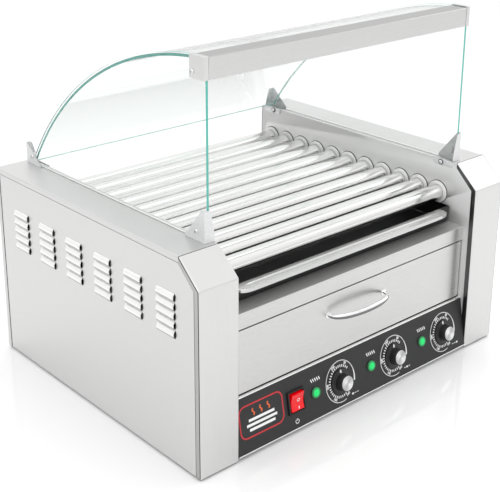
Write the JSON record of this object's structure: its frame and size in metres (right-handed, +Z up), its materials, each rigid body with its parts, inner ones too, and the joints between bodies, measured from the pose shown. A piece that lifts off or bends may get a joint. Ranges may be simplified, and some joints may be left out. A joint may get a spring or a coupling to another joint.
{
  "type": "hot dog roller grill",
  "caption": "Counter-top roller grill with turning heated tubes, drip tray, warming drawer, control panel and a curved glass canopy",
  "frame": {"origin": "centre of the bounding box's bottom face, on the surface the feet stand on", "axes": "+Z up, front faces -Y, rollers lie along X"},
  "size_m": [0.586, 0.4864, 0.5165],
  "materials": {
    "brushed_steel": "brushed stainless sheet",
    "bracket_metal": "satin grey",
    "zinc_steel": "zinc plated",
    "chain_steel": "oiled dark steel",
    "heater_metal": "heat-darkened sheath",
    "polished_steel": "fine polished stainless tube",
    "chrome": "bright chrome",
    "panel_black": "satin black",
    "black_plastic": "fine satin",
    "red_plastic": "translucent gloss",
    "green_lens": "translucent gloss",
    "glass": "clear tempered, green edges",
    "rubber": "matt"
  },
  "bodies": {
    "chassis": {"left_wall": "brushed_steel", "right_wall": "brushed_steel", "left_side_cover": "brushed_steel", "right_side_cover": "brushed_steel", "left_front_post": "brushed_steel", "right_front_post": "brushed_steel", "rear_panel": "brushed_steel", "deck": "brushed_steel", "drawer_runner_left": "brushed_steel", "drawer_runner_right": "brushed_steel", "canopy_bar": "brushed_steel", "canopy_cap_left": "brushed_steel", "canopy_cap_right": "brushed_steel", "bracket_front_left": "bracket_metal", "bracket_front_right": "bracket_metal", "bracket_rear_left": "bracket_metal", "bracket_rear_right": "bracket_metal", "base_pan": "zinc_steel", "gear_motor": "zinc_steel", "motor_bracket": "zinc_steel", "thermostat_front": "zinc_steel", "thermostat_rear": "zinc_steel", "thermostat_drawer": "zinc_steel", "drive_chain": "chain_steel", "heater_front_zone": "heater_metal", "heater_rear_zone": "heater_metal", "drawer_heater": "heater_metal", "control_panel": "panel_black", "switch_body": "black_plastic", "cable_gland": "black_plastic", "lamp_front": "green_lens", "lamp_rear": "green_lens", "lamp_drawer": "green_lens", "glass_left": "glass", "glass_right": "glass", "glass_curved": "glass", "foot_front_left": "rubber", "foot_front_right": "rubber", "foot_rear_left": "rubber", "foot_rear_right": "rubber"},
    "drawer": {"drawer_front": "brushed_steel", "drawer_box": "brushed_steel", "drawer_handle": "chrome"},
    "tray": {"drip_tray": "brushed_steel"},
    "sprocket": {"drive_sprocket": "zinc_steel"},
    "rocker": {"switch_rocker": "red_plastic"},
    "dial_front": {"knob_front": "black_plastic"},
    "dial_rear": {"knob_rear": "black_plastic"},
    "dial_drawer": {"knob_drawer": "black_plastic"},
    "roller_01_body": {"roller_01": "polished_steel"},
    "roller_02_body": {"roller_02": "polished_steel"},
    "roller_03_body": {"roller_03": "polished_steel"},
    "roller_04_body": {"roller_04": "polished_steel"},
    "roller_05_body": {"roller_05": "polished_steel"},
    "roller_06_body": {"roller_06": "polished_steel"},
    "roller_07_body": {"roller_07": "polished_steel"},
    "roller_08_body": {"roller_08": "polished_steel"},
    "roller_09_body": {"roller_09": "polished_steel"},
    "roller_10_body": {"roller_10": "polished_steel"},
    "roller_11_body": {"roller_11": "polished_steel"}
  },
  "joints": [
    {"name": "roller_01_spin", "type": "hinge", "parent": "chassis", "child": "roller_01_body", "pos_m": [0, -0.16215, 0.2363], "axis": [1, 0, 0], "continuous": true},
    {"name": "roller_02_spin", "type": "hinge", "parent": "chassis", "child": "roller_02_body", "pos_m": [0, -0.12555, 0.2363], "axis": [1, 0, 0], "continuous": true},
    {"name": "roller_03_spin", "type": "hinge", "parent": "chassis", "child": "roller_03_body", "pos_m": [0, -0.08895, 0.2363], "axis": [1, 0, 0], "continuous": true},
    {"name": "roller_04_spin", "type": "hinge", "parent": "chassis", "child": "roller_04_body", "pos_m": [0, -0.05235, 0.2363], "axis": [1, 0, 0], "continuous": true},
    {"name": "roller_05_spin", "type": "hinge", "parent": "chassis", "child": "roller_05_body", "pos_m": [0, -0.01575, 0.2363], "axis": [1, 0, 0], "continuous": true},
    {"name": "roller_06_spin", "type": "hinge", "parent": "chassis", "child": "roller_06_body", "pos_m": [0, 0.02085, 0.2363], "axis": [1, 0, 0], "continuous": true},
    {"name": "roller_07_spin", "type": "hinge", "parent": "chassis", "child": "roller_07_body", "pos_m": [0, 0.05745, 0.2363], "axis": [1, 0, 0], "continuous": true},
    {"name": "roller_08_spin", "type": "hinge", "parent": "chassis", "child": "roller_08_body", "pos_m": [0, 0.09405, 0.2363], "axis": [1, 0, 0], "continuous": true},
    {"name": "roller_09_spin", "type": "hinge", "parent": "chassis", "child": "roller_09_body", "pos_m": [0, 0.13065, 0.2363], "axis": [1, 0, 0], "continuous": true},
    {"name": "roller_10_spin", "type": "hinge", "parent": "chassis", "child": "roller_10_body", "pos_m": [0, 0.16725, 0.2363], "axis": [1, 0, 0], "continuous": true},
    {"name": "roller_11_spin", "type": "hinge", "parent": "chassis", "child": "roller_11_body", "pos_m": [0, 0.20385, 0.2363], "axis": [1, 0, 0], "continuous": true},
    {"name": "sprocket_spin", "type": "hinge", "parent": "chassis", "child": "sprocket", "pos_m": [0.2435, 0.02085, 0.199], "axis": [1, 0, 0], "continuous": true},
    {"name": "dial_front_turn", "type": "hinge", "parent": "chassis", "child": "dial_front", "pos_m": [-0.039, -0.22537, 0.04207], "axis": [0, -0.9828, 0.1847], "range_deg": [-300, 0]},
    {"name": "dial_rear_turn", "type": "hinge", "parent": "chassis", "child": "dial_rear", "pos_m": [0.07, -0.22537, 0.04207], "axis": [0, -0.9828, 0.1847], "range_deg": [-300, 0]},
    {"name": "dial_drawer_turn", "type": "hinge", "parent": "chassis", "child": "dial_drawer", "pos_m": [0.1795, -0.22537, 0.04207], "axis": [0, -0.9828, 0.1847], "range_deg": [-300, 0]},
    {"name": "rocker_tip", "type": "hinge", "parent": "chassis", "child": "rocker", "pos_m": [-0.123, -0.22291, 0.04435], "axis": [1, 0, 0], "range_deg": [-16, 0]},
    {"name": "drawer_slide", "type": "slide", "parent": "chassis", "child": "drawer", "axis": [0, -1, 0], "range_m": [0, 0.3]},
    {"name": "tray_slide", "type": "slide", "parent": "chassis", "child": "tray", "axis": [0, -1, 0], "range_m": [0, 0.35]}
  ],
  "couplings": [
    {"joint": "roller_02_spin", "follows": "roller_01_spin", "ratio": 1},
    {"joint": "roller_03_spin", "follows": "roller_01_spin", "ratio": 1},
    {"joint": "roller_04_spin", "follows": "roller_01_spin", "ratio": 1},
    {"joint": "roller_05_spin", "follows": "roller_01_spin", "ratio": 1},
    {"joint": "roller_06_spin", "follows": "roller_01_spin", "ratio": 1},
    {"joint": "roller_07_spin", "follows": "roller_01_spin", "ratio": 1},
    {"joint": "roller_08_spin", "follows": "roller_01_spin", "ratio": 1},
    {"joint": "roller_09_spin", "follows": "roller_01_spin", "ratio": 1},
    {"joint": "roller_10_spin", "follows": "roller_01_spin", "ratio": 1},
    {"joint": "roller_11_spin", "follows": "roller_01_spin", "ratio": 1},
    {"joint": "sprocket_spin", "follows": "roller_01_spin", "ratio": -0.52941}
  ]
}
